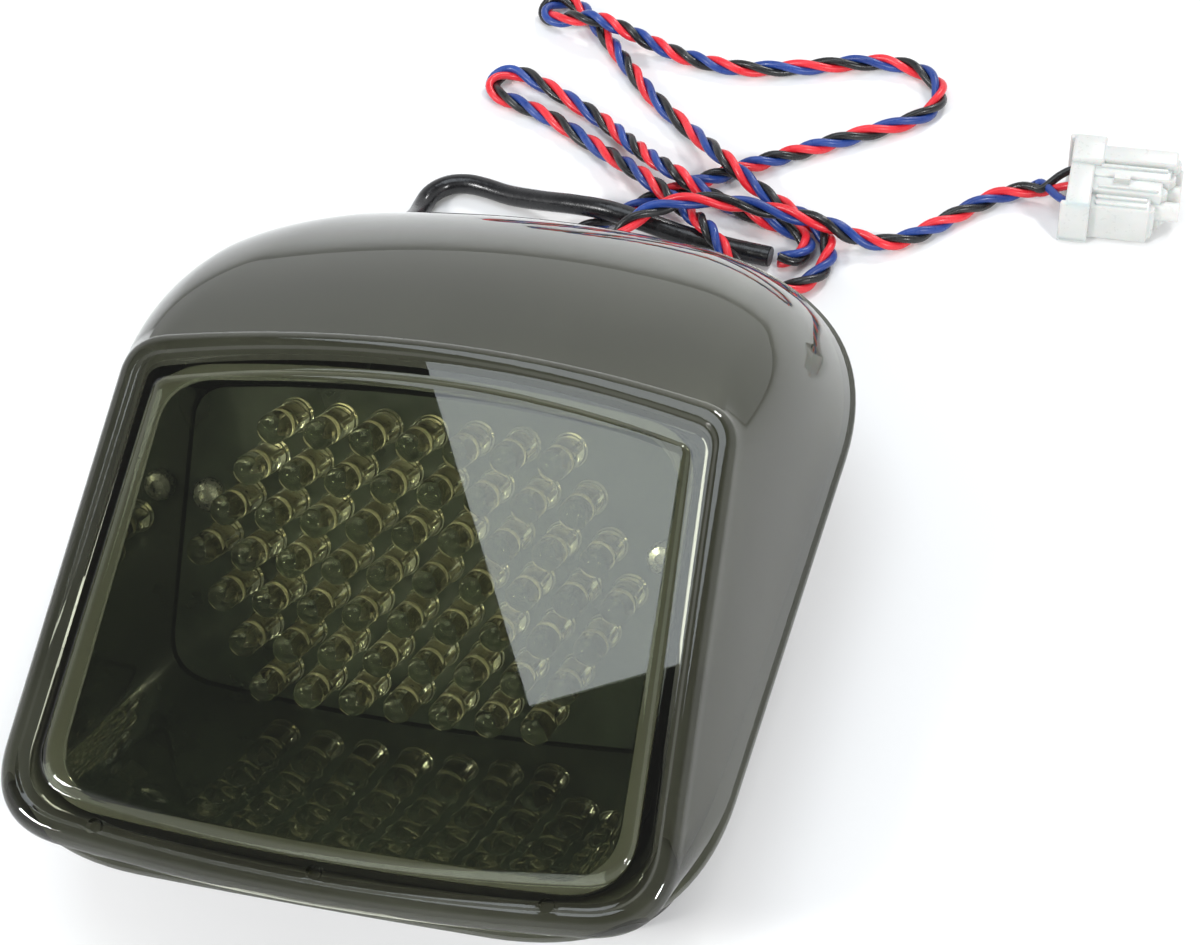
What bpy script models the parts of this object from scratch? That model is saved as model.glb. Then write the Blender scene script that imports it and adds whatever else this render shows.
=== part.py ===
"""Wedge-shaped LED tail light: smoked lens, black light box, slanted LED board, rear housing, sleeved three-wire lead.

Frame: the back face of the rear housing lies on z = 0, +Z points out through the lens, +Y points from the low
lip of the lens to its tall end, where the lead comes out, and +X completes the right-handed set. The origin is
under the centre of the lens rim. Lengths below are in millimetres and are scaled to metres when a mesh is made.
"""

import math

import bmesh
import bpy
from mathutils import Euler, Matrix, Vector

MM = 0.001
GAP = 0.3

# Heights above the back face.
FLOOR_THICKNESS = 2.5
FLANGE_BOTTOM = 23.5
FLANGE_TOP = 26.5
SEAL_BOTTOM = 26.8
SEAL_TOP = 27.7
RIM_HEIGHT = 28.0
SKIRT_HEIGHT = 1.2

# Slanted front plane of the lens: where it crosses x = 0 at its own zero, and its rise towards +Y.
FRONT_ORIGIN = Vector((0.0, -30.7, 47.3))
FRONT_TILT = math.radians(21.4)
PANE_THICKNESS = 2.3

# How far the lens's walls bulge between the rim and the front, and where they change from one to the other.
SIDE_FULLNESS = 0.14
END_FULLNESS = 0.42
FULL_FROM_Y = 15.0
FULL_TO_Y = 58.0

# Slanted LED plane, through the tips of the LEDs, and the board behind it.
BOARD_ORIGIN = Vector((0.0, -18.0, 36.8))
BOARD_TILT = math.radians(53.7)
BOARD_FACE = -13.1
BOARD_THICKNESS = 1.6
BOARD_BACK = BOARD_FACE - BOARD_THICKNESS

# Five-millimetre LEDs on a staggered 0.3 inch grid.
LED_PITCH = 7.62
LED_ROW_PITCH = 7.22
LED_ROW_COUNTS = (7, 8, 9, 10, 9, 8, 7)
LED_RADIUS = 2.5
LED_FLANGE_RADIUS = 2.9
LED_LENGTH = 12.8
LED_GRID_X = -0.85
LED_GRID_UP = -0.7

# Outlines: half widths of the top and bottom corners, their heights in the outline's plane, the rise of the
# arched top and bottom edges, and how far the rounding reaches from each corner.
RIM = dict(wide_top=64.7, wide_bottom=55.3, top=59.25, bottom=-70.35, arch_top=12.0, arch_bottom=0.9,
           round_top=34.5, round_bottom=28.0)
FRONT = dict(wide_top=48.7, wide_bottom=51.7, top=37.0, bottom=-39.5, arch_top=5.5, arch_bottom=3.7,
             round_top=5.0, round_bottom=11.0)
WINDOW = dict(wide_top=41.5, wide_bottom=43.3, top=31.5, bottom=-33.5, arch_top=4.0, arch_bottom=2.0,
              round_top=6.5, round_bottom=8.0)
BOX_FLOOR = dict(wide_top=41.5, wide_bottom=45.2, top=23.5, bottom=-27.0, arch_top=3.4, arch_bottom=2.2,
                 round_top=5.5, round_bottom=8.0)
HOUSING_TOP = dict(wide_top=58.0, wide_bottom=49.5, top=52.0, bottom=-62.5, arch_top=11.0, arch_bottom=0.9,
                   round_top=26.0, round_bottom=20.0)
HOUSING_LOW = dict(wide_top=56.0, wide_bottom=48.0, top=49.0, bottom=-54.5, arch_top=10.0, arch_bottom=0.9,
                   round_top=24.0, round_bottom=15.0)

# Rear fixings and the lead's way out.
INSERT_X = 30.0
INSERT_Y = 30.0
INSERT_RADIUS = 3.5
INSERT_DEPTH = 8.0
BOARD_SCREW_X = 38.4
BOARD_SCREW_UP = 5.6
SCREW_CLEARANCE_RADIUS = 1.8
POST_WIDTH = 6.4
POST_LENGTH = 13.0
SIDES = {-1: "left", 1: "right"}
EXIT_X = -37.0
EXIT_Z = 14.0
EXIT_FACE_Y = 60.5
EXIT_DEPTH = 21.0
GROMMET_REACH = 9.0
SLEEVE_DIAMETER = 4.1
CORD_DIAMETER = 3.5
WIRE_DIAMETER = 1.7
TURN_WEIGHT = 9.0

# Connector: a nylon housing lying on the surface the lamp stands on.
PLUG_LEFT = 90.5
PLUG_RIGHT = 110.5
PLUG_FRONT = 110.6
PLUG_BACK = 126.8
PLUG_BOTTOM = 0.3
PLUG_TOP = 11.0
WAY_PITCH = 4.6


for old in list(bpy.data.objects):
    bpy.data.objects.remove(old, do_unlink=True)

lamp = bpy.data.collections.new("tail_light")
cutters = bpy.data.collections.new("cutters")
for group in (lamp, cutters):
    bpy.context.scene.collection.children.link(group)


def material(name, color, roughness, metallic=0.0, transmission=0.0):
    made = bpy.data.materials.new(name)
    made.use_nodes = True
    shader = made.node_tree.nodes["Principled BSDF"]
    shader.inputs["Base Color"].default_value = (*color, 1.0)
    shader.inputs["Roughness"].default_value = roughness
    shader.inputs["Metallic"].default_value = metallic
    shader.inputs["Transmission Weight"].default_value = transmission
    return made


SMOKED = material("smoked_lens", (0.17, 0.18, 0.13), 0.03, transmission=0.6)
BLACK_GLOSS = material("black_gloss_plastic", (0.012, 0.014, 0.012), 0.12)
BLACK_MATT = material("black_matt_plastic", (0.02, 0.02, 0.02), 0.55)
BOARD_GREEN = material("board", (0.012, 0.035, 0.02), 0.35)
CLEAR_EPOXY = material("led_epoxy", (0.85, 0.86, 0.78), 0.05, transmission=0.8)
BLACK_RUBBER = material("black_rubber", (0.015, 0.015, 0.015), 0.7)
STEEL = material("steel", (0.6, 0.6, 0.6), 0.3, 1.0)
BRASS = material("brass", (0.75, 0.55, 0.25), 0.3, 1.0)
TIN = material("tinned_contact", (0.75, 0.75, 0.72), 0.25, 1.0)
RESISTOR_TAN = material("resistor", (0.55, 0.42, 0.25), 0.45)
COMPONENT_BLACK = material("component", (0.02, 0.02, 0.02), 0.4)
NYLON = material("natural_nylon", (0.85, 0.85, 0.8), 0.35)
WIRE_COLORS = {
    "black": material("wire_black", (0.012, 0.012, 0.012), 0.35),
    "red": material("wire_red", (0.75, 0.03, 0.04), 0.35),
    "blue": material("wire_blue", (0.03, 0.07, 0.3), 0.35),
}


def add(name, mesh, mat, group=lamp):
    body = bpy.data.objects.new(name, mesh)
    group.objects.link(body)
    if mat is not None:
        mesh.materials.append(mat)
    if group is cutters:
        body.hide_render = True
        body.display_type = "WIRE"
    return body


def smooth(body, degrees=35.0):
    for face in body.data.polygons:
        face.use_smooth = True
    body.data.set_sharp_from_angle(angle=math.radians(degrees))


def from_bmesh(name, mesh_data, mat, group=lamp):
    bmesh.ops.recalc_face_normals(mesh_data, faces=mesh_data.faces)
    mesh = bpy.data.meshes.new(name)
    mesh_data.to_mesh(mesh)
    mesh_data.free()
    return add(name, mesh, mat, group)


# ---- Outlines ----------------------------------------------------------------------------------------------

def inset(shape, amount):
    """The same outline drawn in by an amount (or out, if it is negative)."""
    return dict(
        wide_top=shape["wide_top"] - amount,
        wide_bottom=shape["wide_bottom"] - amount,
        top=shape["top"] - amount,
        bottom=shape["bottom"] + amount,
        arch_top=shape["arch_top"],
        arch_bottom=shape["arch_bottom"],
        round_top=max(shape["round_top"] - 0.8 * amount, 1.5),
        round_bottom=max(shape["round_bottom"] - 0.8 * amount, 1.5),
    )


def bend(start, corner, end, steps):
    """Points along a quadratic curve from start to end, drawn towards the corner, ends left out."""
    points = []
    for step in range(1, steps):
        part = step / steps
        points.append(start * (1 - part) ** 2 + corner * (2 * part * (1 - part)) + end * part ** 2)
    return points


def outline(shape, edge_steps=7, corner_steps=7, side_steps=6):
    """Closed outline as (x, up) points, clockwise from the middle of the arched top edge."""
    top_corner = Vector((shape["wide_top"], shape["top"]))
    low_corner = Vector((shape["wide_bottom"], shape["bottom"]))
    side = (low_corner - top_corner).normalized()

    def top_edge(x):
        return Vector((x, shape["top"] + shape["arch_top"] * (1 - (x / shape["wide_top"]) ** 2)))

    def low_edge(x):
        return Vector((x, shape["bottom"] - shape["arch_bottom"] * (1 - (x / shape["wide_bottom"]) ** 2)))

    top_reach = shape["wide_top"] - shape["round_top"]
    low_reach = shape["wide_bottom"] - shape["round_bottom"]
    side_start = top_corner + side * shape["round_top"]
    side_end = low_corner - side * shape["round_bottom"]
    right = [top_edge(top_reach * step / edge_steps) for step in range(edge_steps + 1)]
    right += bend(right[-1], top_corner, side_start, corner_steps)
    right += [side_start.lerp(side_end, step / side_steps) for step in range(side_steps + 1)]
    right += bend(side_end, low_corner, low_edge(low_reach), corner_steps)
    right += [low_edge(low_reach * (1 - step / edge_steps)) for step in range(edge_steps + 1)]
    left = [Vector((-point.x, point.y)) for point in reversed(right[1:-1])]
    return right + left


def level_ring(shape, height):
    return [Vector((point.x, point.y, height)) for point in outline(shape)]


def front_point(x, up, out):
    """A point given in the lens's slanted front plane: across, up the plane, and out of it."""
    return FRONT_ORIGIN + Vector((
        x,
        up * math.cos(FRONT_TILT) - out * math.sin(FRONT_TILT),
        up * math.sin(FRONT_TILT) + out * math.cos(FRONT_TILT),
    ))


def front_ring(shape, out):
    return [front_point(point.x, point.y, out) for point in outline(shape)]


def board_point(x, up, out):
    """A point given in the LED plane: across, up the board, and out of it."""
    return BOARD_ORIGIN + Vector((
        x,
        up * math.cos(BOARD_TILT) - out * math.sin(BOARD_TILT),
        up * math.sin(BOARD_TILT) + out * math.cos(BOARD_TILT),
    ))


def board_ring(shape, out):
    return [board_point(point.x, point.y, out) for point in outline(shape)]


def board_matrix(x, up, out):
    """Placement whose local z axis points out of the board and whose local y axis points up it."""
    place = Matrix.Translation(board_point(x, up, out) * MM)
    return place @ Matrix.Rotation(BOARD_TILT, 4, "X")


def front_matrix(x, up, out):
    place = Matrix.Translation(front_point(x, up, out) * MM)
    return place @ Matrix.Rotation(FRONT_TILT, 4, "X")


def loft(name, rings, mat, capped=True, group=lamp):
    """Skin over matching rings; capped at both ends, or joined round from the last ring to the first."""
    work = bmesh.new()
    rows = [[work.verts.new(point * MM) for point in ring] for ring in rings]
    count = len(rings[0])
    pairs = list(zip(rows, rows[1:]))
    if capped:
        work.faces.new(rows[0])
        work.faces.new(rows[-1])
    else:
        pairs.append((rows[-1], rows[0]))
    for low, high in pairs:
        for index in range(count):
            after = (index + 1) % count
            work.faces.new((low[index], low[after], high[after], high[index]))
    body = from_bmesh(name, work, mat, group)
    smooth(body)
    return body


# ---- Simple solids -----------------------------------------------------------------------------------------

def block(name, size, place, mat, bevel=0.0, group=lamp):
    work = bmesh.new()
    bmesh.ops.create_cube(work, size=1.0)
    bmesh.ops.scale(work, vec=Vector(size) * MM, verts=work.verts)
    if bevel > 0:
        bmesh.ops.bevel(work, geom=list(work.edges), offset=bevel * MM, segments=2, affect="EDGES", profile=0.5)
    bmesh.ops.transform(work, matrix=place, verts=work.verts)
    return from_bmesh(name, work, mat, group)


def rod(name, radius, length, place, mat, sides=24, group=lamp, far_radius=None):
    """A round bar centred on its placement, along local z."""
    work = bmesh.new()
    end = radius if far_radius is None else far_radius
    bmesh.ops.create_cone(work, cap_ends=True, segments=sides, radius1=radius * MM, radius2=end * MM,
                          depth=length * MM)
    bmesh.ops.transform(work, matrix=place, verts=work.verts)
    body = from_bmesh(name, work, mat, group)
    smooth(body)
    return body


def turned(name, profile, place, mat, sides=24, group=lamp):
    """A turned solid from (radius, height) points that run from the axis at its bottom to the axis at its top."""
    mesh = bpy.data.meshes.new(name)
    points = [(radius * MM, 0.0, height * MM) for radius, height in reversed(profile)]
    mesh.from_pydata(points, [(index, index + 1) for index in range(len(points) - 1)], [])
    body = add(name, mesh, mat, group)
    body.matrix_world = place
    spin = body.modifiers.new("turn", "SCREW")
    spin.steps = sides
    spin.render_steps = sides
    spin.use_merge_vertices = True
    spin.merge_threshold = 0.00001
    return body


def plate(name, outlines, thickness, place, mat):
    """A flat sheet between closed outlines of (x, up) points; the first is its edge and the others are holes."""
    curve = bpy.data.curves.new(name, "CURVE")
    curve.dimensions = "2D"
    curve.fill_mode = "BOTH"
    curve.extrude = thickness / 2 * MM
    for points in outlines:
        line = curve.splines.new("POLY")
        line.points.add(len(points) - 1)
        line.use_cyclic_u = True
        for knot, point in zip(line.points, points):
            knot.co = (point.x * MM, point.y * MM, 0.0, 1.0)
    body = bpy.data.objects.new(name, curve)
    lamp.objects.link(body)
    curve.materials.append(mat)
    body.matrix_world = place
    return body


def circle(x, up, radius, sides=16):
    angles = [math.tau * side / sides for side in range(sides)]
    return [Vector((x + radius * math.cos(angle), up + radius * math.sin(angle))) for angle in angles]


def combine(body, tool, operation):
    step = body.modifiers.new(operation.lower(), "BOOLEAN")
    step.operation = operation
    step.solver = "EXACT"
    step.object = tool


def at(x, y, z, turn=(0.0, 0.0, 0.0)):
    return Matrix.Translation(Vector((x, y, z)) * MM) @ Euler([math.radians(a) for a in turn]).to_matrix().to_4x4()


# ---- Cords -------------------------------------------------------------------------------------------------

def spline_points(route, count):
    """Points on the smooth curve through the route's points, closer together where it turns."""
    knots = [Vector(point) for point in route]
    knots = [knots[0] * 2 - knots[1]] + knots + [knots[-1] * 2 - knots[-2]]
    fine = []
    for a, b, c, d in zip(knots, knots[1:], knots[2:], knots[3:]):
        for step in range(24):
            t = step / 24
            fine.append(0.5 * (b * 2 + (c - a) * t + (a * 2 - b * 5 + c * 4 - d) * t ** 2
                               + (b * 3 - a - c * 3 + d) * t ** 3))
    fine.append(knots[-2])
    travelled = [0.0, (fine[1] - fine[0]).length]
    for before, here, after in zip(fine, fine[1:], fine[2:]):
        turning = (after - here).angle(here - before)
        travelled.append(travelled[-1] + (after - here).length + TURN_WEIGHT * turning)
    points = []
    index = 0
    for step in range(count):
        goal = travelled[-1] * step / (count - 1)
        while index < len(fine) - 2 and travelled[index + 1] < goal:
            index += 1
        span = travelled[index + 1] - travelled[index]
        points.append(fine[index].lerp(fine[index + 1], (goal - travelled[index]) / span))
    return points


def tube(name, route, diameter, mat, count, resolution=2):
    curve = bpy.data.curves.new(name, "CURVE")
    curve.dimensions = "3D"
    curve.bevel_depth = diameter / 2 * MM
    curve.bevel_resolution = resolution
    curve.use_fill_caps = True
    line = curve.splines.new("POLY")
    points = spline_points(route, count)
    line.points.add(len(points) - 1)
    for knot, point in zip(line.points, points):
        knot.co = (*(point * MM), 1.0)
    body = bpy.data.objects.new(name, curve)
    lamp.objects.link(body)
    curve.materials.append(mat)
    return body


# ---- Lens --------------------------------------------------------------------------------------------------

def lens_wall_rings(steps=7):
    """Outer wall from the top of the skirt to just under the front edge, fuller towards the tall end."""
    low = level_ring(inset(RIM, 0.7), RIM_HEIGHT + SKIRT_HEIGHT + 0.3)
    high = front_ring(inset(FRONT, -1.3), -1.9)
    rings = []
    for step in range(steps + 1):
        part = step / steps
        ring = []
        for start, end in zip(low, high):
            towards_end = min(max((start.y - FULL_FROM_Y) / (FULL_TO_Y - FULL_FROM_Y), 0.0), 1.0)
            fullness = SIDE_FULLNESS + (END_FULLNESS - SIDE_FULLNESS) * towards_end
            corner = Vector((start.x, start.y, end.z))
            control = ((start + end) / 2).lerp(corner, fullness)
            ring.append(start * (1 - part) ** 2 + control * (2 * part * (1 - part)) + end * part ** 2)
        rings.append(ring)
    return rings


def build_lens():
    inner_low = level_ring(inset(RIM, 6.0), RIM_HEIGHT)
    inner_high = front_ring(inset(FRONT, 3.0), -PANE_THICKNESS)
    rings = [inner_high]
    rings += [[high.lerp(low, part) for high, low in zip(inner_high, inner_low)] for part in (0.3, 0.65, 1.0)]
    rings += [level_ring(RIM, RIM_HEIGHT), level_ring(RIM, RIM_HEIGHT + SKIRT_HEIGHT)]
    rings += lens_wall_rings()
    rings += [
        front_ring(inset(FRONT, -0.6), -0.6),
        front_ring(inset(FRONT, 0.3), 0.0),
        front_ring(inset(FRONT, 1.6), 0.0),
        front_ring(inset(FRONT, 2.0), -0.4),
        front_ring(inset(FRONT, 5.4), -0.4),
        front_ring(inset(FRONT, 5.9), 0.1),
        front_ring(inset(FRONT, 6.7), 0.3),
    ]
    body = loft("lens", rings, SMOKED)
    for number, (x, up) in enumerate(((-34.9, -38.9), (0.0, -40.0), (34.9, -38.9))):
        dimple = rod(f"lip_hole_cutter_{number}", 1.15, 4.0, front_matrix(x, up, 0.0), None, 16, cutters)
        combine(body, dimple, "DIFFERENCE")
    return body


build_lens()

# ---- Light box and seal ------------------------------------------------------------------------------------

loft("light_box", [
    front_ring(WINDOW, -PANE_THICKNESS - GAP),
    board_ring(BOX_FLOOR, BOARD_FACE),
    board_ring(BOX_FLOOR, BOARD_BACK - 0.4),
    board_ring(inset(BOX_FLOOR, -1.6), BOARD_BACK - 0.4),
    front_ring(inset(WINDOW, -1.6), -PANE_THICKNESS - 1.7),
    front_ring(inset(WINDOW, -2.6), -PANE_THICKNESS - 1.7),
    front_ring(inset(WINDOW, -2.6), -PANE_THICKNESS - GAP),
], BLACK_GLOSS, capped=False)

plate("lens_seal", [outline(inset(RIM, 3.5)), outline(inset(RIM, 5.7))], SEAL_TOP - SEAL_BOTTOM,
      at(0.0, 0.0, (SEAL_TOP + SEAL_BOTTOM) / 2), BLACK_RUBBER)

# ---- Rear housing ------------------------------------------------------------------------------------------


def board_post(side, name):
    """Upright post with its top cut to the slant of the board."""
    x = side * BOARD_SCREW_X
    middle = board_point(x, BOARD_SCREW_UP, BOARD_BACK - GAP)
    work = bmesh.new()
    bmesh.ops.create_cube(work, size=1.0)
    for corner in work.verts:
        rise = corner.co.y * POST_LENGTH * math.tan(BOARD_TILT)
        z = middle.z + rise if corner.co.z > 0 else FLOOR_THICKNESS - 1.0
        corner.co = Vector((x + corner.co.x * POST_WIDTH, middle.y + corner.co.y * POST_LENGTH, z)) * MM
    return from_bmesh(f"board_post_{name}", work, None, cutters)


def build_housing():
    body = loft("rear_housing", [
        level_ring(inset(HOUSING_LOW, 2.4), FLOOR_THICKNESS),
        level_ring(inset(HOUSING_TOP, 2.2), FLANGE_TOP - 2.0),
        level_ring(inset(HOUSING_TOP, 2.2), FLANGE_TOP),
        level_ring(inset(RIM, 3.5), FLANGE_TOP),
        level_ring(inset(RIM, 4.6), FLANGE_BOTTOM),
        level_ring(HOUSING_TOP, FLANGE_BOTTOM),
        level_ring(HOUSING_LOW, 3.0),
        level_ring(inset(HOUSING_LOW, 2.6), 0.0),
    ], BLACK_MATT)
    for side, name in SIDES.items():
        combine(body, board_post(side, name), "UNION")
        boss = rod(f"insert_boss_{name}", 6.5, 9.0, at(side * INSERT_X, INSERT_Y, 6.0), None, 24, cutters)
        combine(body, boss, "UNION")
    pad_place = at(EXIT_X, EXIT_FACE_Y - EXIT_DEPTH / 2, EXIT_Z, (90, 0, 0))
    combine(body, rod("exit_pad", 7.2, EXIT_DEPTH, pad_place, None, 24, cutters), "UNION")
    for side, name in SIDES.items():
        hole_depth = INSERT_DEPTH + 1.0
        hole = rod(f"insert_hole_{name}", INSERT_RADIUS + GAP, hole_depth,
                   at(side * INSERT_X, INSERT_Y, hole_depth / 2 - 0.5), None, 24, cutters)
        combine(body, hole, "DIFFERENCE")
        screw_hole = rod(f"board_screw_hole_{name}", SCREW_CLEARANCE_RADIUS, 14.0,
                         board_matrix(side * BOARD_SCREW_X, BOARD_SCREW_UP, BOARD_BACK - 5.5), None, 16, cutters)
        combine(body, screw_hole, "DIFFERENCE")
    way_out = rod("exit_hole", 4.5, 34.0, at(EXIT_X, EXIT_FACE_Y - 12.0, EXIT_Z, (90, 0, 0)), None, 24, cutters)
    combine(body, way_out, "DIFFERENCE")


build_housing()

for side, name in SIDES.items():
    insert_place = at(side * INSERT_X, INSERT_Y, 0.2)
    bore = INSERT_RADIUS - 1.4
    turned(f"mounting_insert_{name}", [
        (0.0, INSERT_DEPTH - 1.6), (bore, INSERT_DEPTH - 1.6), (bore, 0.0), (INSERT_RADIUS, 0.0),
        (INSERT_RADIUS, 3.2), (INSERT_RADIUS - 0.5, 3.5), (INSERT_RADIUS - 0.5, 4.1), (INSERT_RADIUS, 4.4),
        (INSERT_RADIUS, INSERT_DEPTH - 0.5), (0.0, INSERT_DEPTH - 0.5),
    ], insert_place, BRASS)

# ---- LED board ---------------------------------------------------------------------------------------------

plate("led_board", [
    outline(inset(BOX_FLOOR, 0.4)),
    circle(-BOARD_SCREW_X, BOARD_SCREW_UP, SCREW_CLEARANCE_RADIUS),
    circle(BOARD_SCREW_X, BOARD_SCREW_UP, SCREW_CLEARANCE_RADIUS),
], BOARD_THICKNESS, board_matrix(0.0, 0.0, (BOARD_FACE + BOARD_BACK) / 2), BOARD_GREEN)
for side, name in SIDES.items():
    turned(f"board_screw_{name}", [
        (0.0, -8.0), (1.1, -8.0), (1.5, -7.0), (1.5, 0.0), (2.7, 0.0), (2.7, 1.0), (2.2, 1.7), (1.2, 2.0),
        (1.2, 1.2), (0.0, 1.2),
    ], board_matrix(side * BOARD_SCREW_X, BOARD_SCREW_UP, BOARD_FACE + GAP), STEEL, 20)


def led_shape(name, x, up):
    """One clear round LED standing on the board, with its base flange."""
    shoulder = LED_LENGTH - LED_RADIUS
    profile = [
        (0.0, 0.0), (LED_FLANGE_RADIUS, 0.0), (LED_FLANGE_RADIUS, 1.0), (LED_RADIUS, 1.0), (LED_RADIUS, shoulder),
        (LED_RADIUS * 0.78, shoulder + LED_RADIUS * 0.63), (0.0, LED_LENGTH),
    ]
    return turned(name, profile, board_matrix(x, up, -LED_LENGTH), None, 10, cutters)


for row, count in enumerate(LED_ROW_COUNTS):
    up = LED_GRID_UP + (len(LED_ROW_COUNTS) // 2 - row) * LED_ROW_PITCH
    first = LED_GRID_X - (count - 1) / 2 * LED_PITCH
    strip = block(f"led_row_{row + 1}", ((count - 1) * LED_PITCH, 3.2, 0.4),
                  board_matrix(LED_GRID_X, up, -LED_LENGTH + 0.5), CLEAR_EPOXY)
    bodies = bpy.data.collections.new(f"led_row_{row + 1}_bodies")
    cutters.children.link(bodies)
    for number in range(count):
        led = led_shape(f"led_{row + 1}_{number + 1}", first + number * LED_PITCH, up)
        cutters.objects.unlink(led)
        bodies.objects.link(led)
    join = strip.modifiers.new("leds", "BOOLEAN")
    join.operation = "UNION"
    join.solver = "EXACT"
    join.operand_type = "COLLECTION"
    join.collection = bodies

# Driver parts on the back of the board.
for number in range(4):
    rod(f"resistor_{number + 1}", 1.2, 6.5,
        board_matrix(-12.0 + 11.0 * number, 13.0, BOARD_BACK - GAP - 1.3) @ Matrix.Rotation(math.pi / 2, 4, "Y"),
        RESISTOR_TAN, 16)
rod("polarity_diode", 1.35, 5.2,
    board_matrix(-16.0, -7.0, BOARD_BACK - GAP - 1.45) @ Matrix.Rotation(math.pi / 2, 4, "Y"), COMPONENT_BLACK, 16)
block("current_regulator", (10.0, 8.5, 4.4), board_matrix(12.0, -6.0, BOARD_BACK - GAP - 2.2), COMPONENT_BLACK, 0.4)
block("wire_terminal", (9.0, 6.0, 6.5), board_matrix(-20.0, 4.0, BOARD_BACK - GAP - 3.25), NYLON, 0.4)

# ---- Lead --------------------------------------------------------------------------------------------------

terminal_end = board_point(-20.0, 4.0, BOARD_BACK - 3.5 * GAP - 6.5)
terminal_away = board_point(-20.0, 4.0, BOARD_BACK - 2 * GAP - 10.5)
tube("inner_lead", [terminal_end, terminal_away, (-26.0, 15.0, 20.0), (-34.0, 26.0, 13.5),
                    (EXIT_X, 34.0, EXIT_Z), (EXIT_X, EXIT_FACE_Y - EXIT_DEPTH - 1.0 - 2 * GAP, EXIT_Z)],
     CORD_DIAMETER, BLACK_RUBBER, 24)

turned("cable_grommet", [
    (0.0, -EXIT_DEPTH - 1.0), (5.2, -EXIT_DEPTH - 1.0), (5.2, -EXIT_DEPTH - 0.6), (4.2, -EXIT_DEPTH - 0.3),
    (4.2, GAP), (6.3, GAP), (6.3, 2.0), (4.4, 2.6), (3.6, 5.5), (3.1, GROMMET_REACH), (0.0, GROMMET_REACH),
], at(EXIT_X, EXIT_FACE_Y, EXIT_Z, (-90, 0, 0)), BLACK_RUBBER)

SLEEVE_REST = SLEEVE_DIAMETER / 2 + 0.05
SLEEVE_ROUTE = [
    (EXIT_X, EXIT_FACE_Y + GROMMET_REACH + 2 * GAP, EXIT_Z), (EXIT_X, 75.8, 13.3), (EXIT_X, 82.0, 10.6), (EXIT_X, 88.0, 6.8),
    (EXIT_X, 93.6, 3.5), (-37.2, 98.2, SLEEVE_REST), (-36.4, 101.8, SLEEVE_REST), (-33.8, 104.7, SLEEVE_REST),
    (-29.8, 105.8, SLEEVE_REST), (-25.6, 105.2, SLEEVE_REST), (-20.0, 103.6, 2.3), (-13.0, 101.8, 3.6),
    (-5.5, 100.2, 5.1), (2.0, 98.7, 5.9), (10.0, 97.6, 4.8), (17.0, 97.0, 3.1), (23.0, 96.4, 2.3),
    (29.0, 95.5, SLEEVE_REST), (35.2, 94.6, SLEEVE_REST),
]
tube("cable_sleeve", SLEEVE_ROUTE, SLEEVE_DIAMETER, BLACK_RUBBER, 26, 3)

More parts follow.
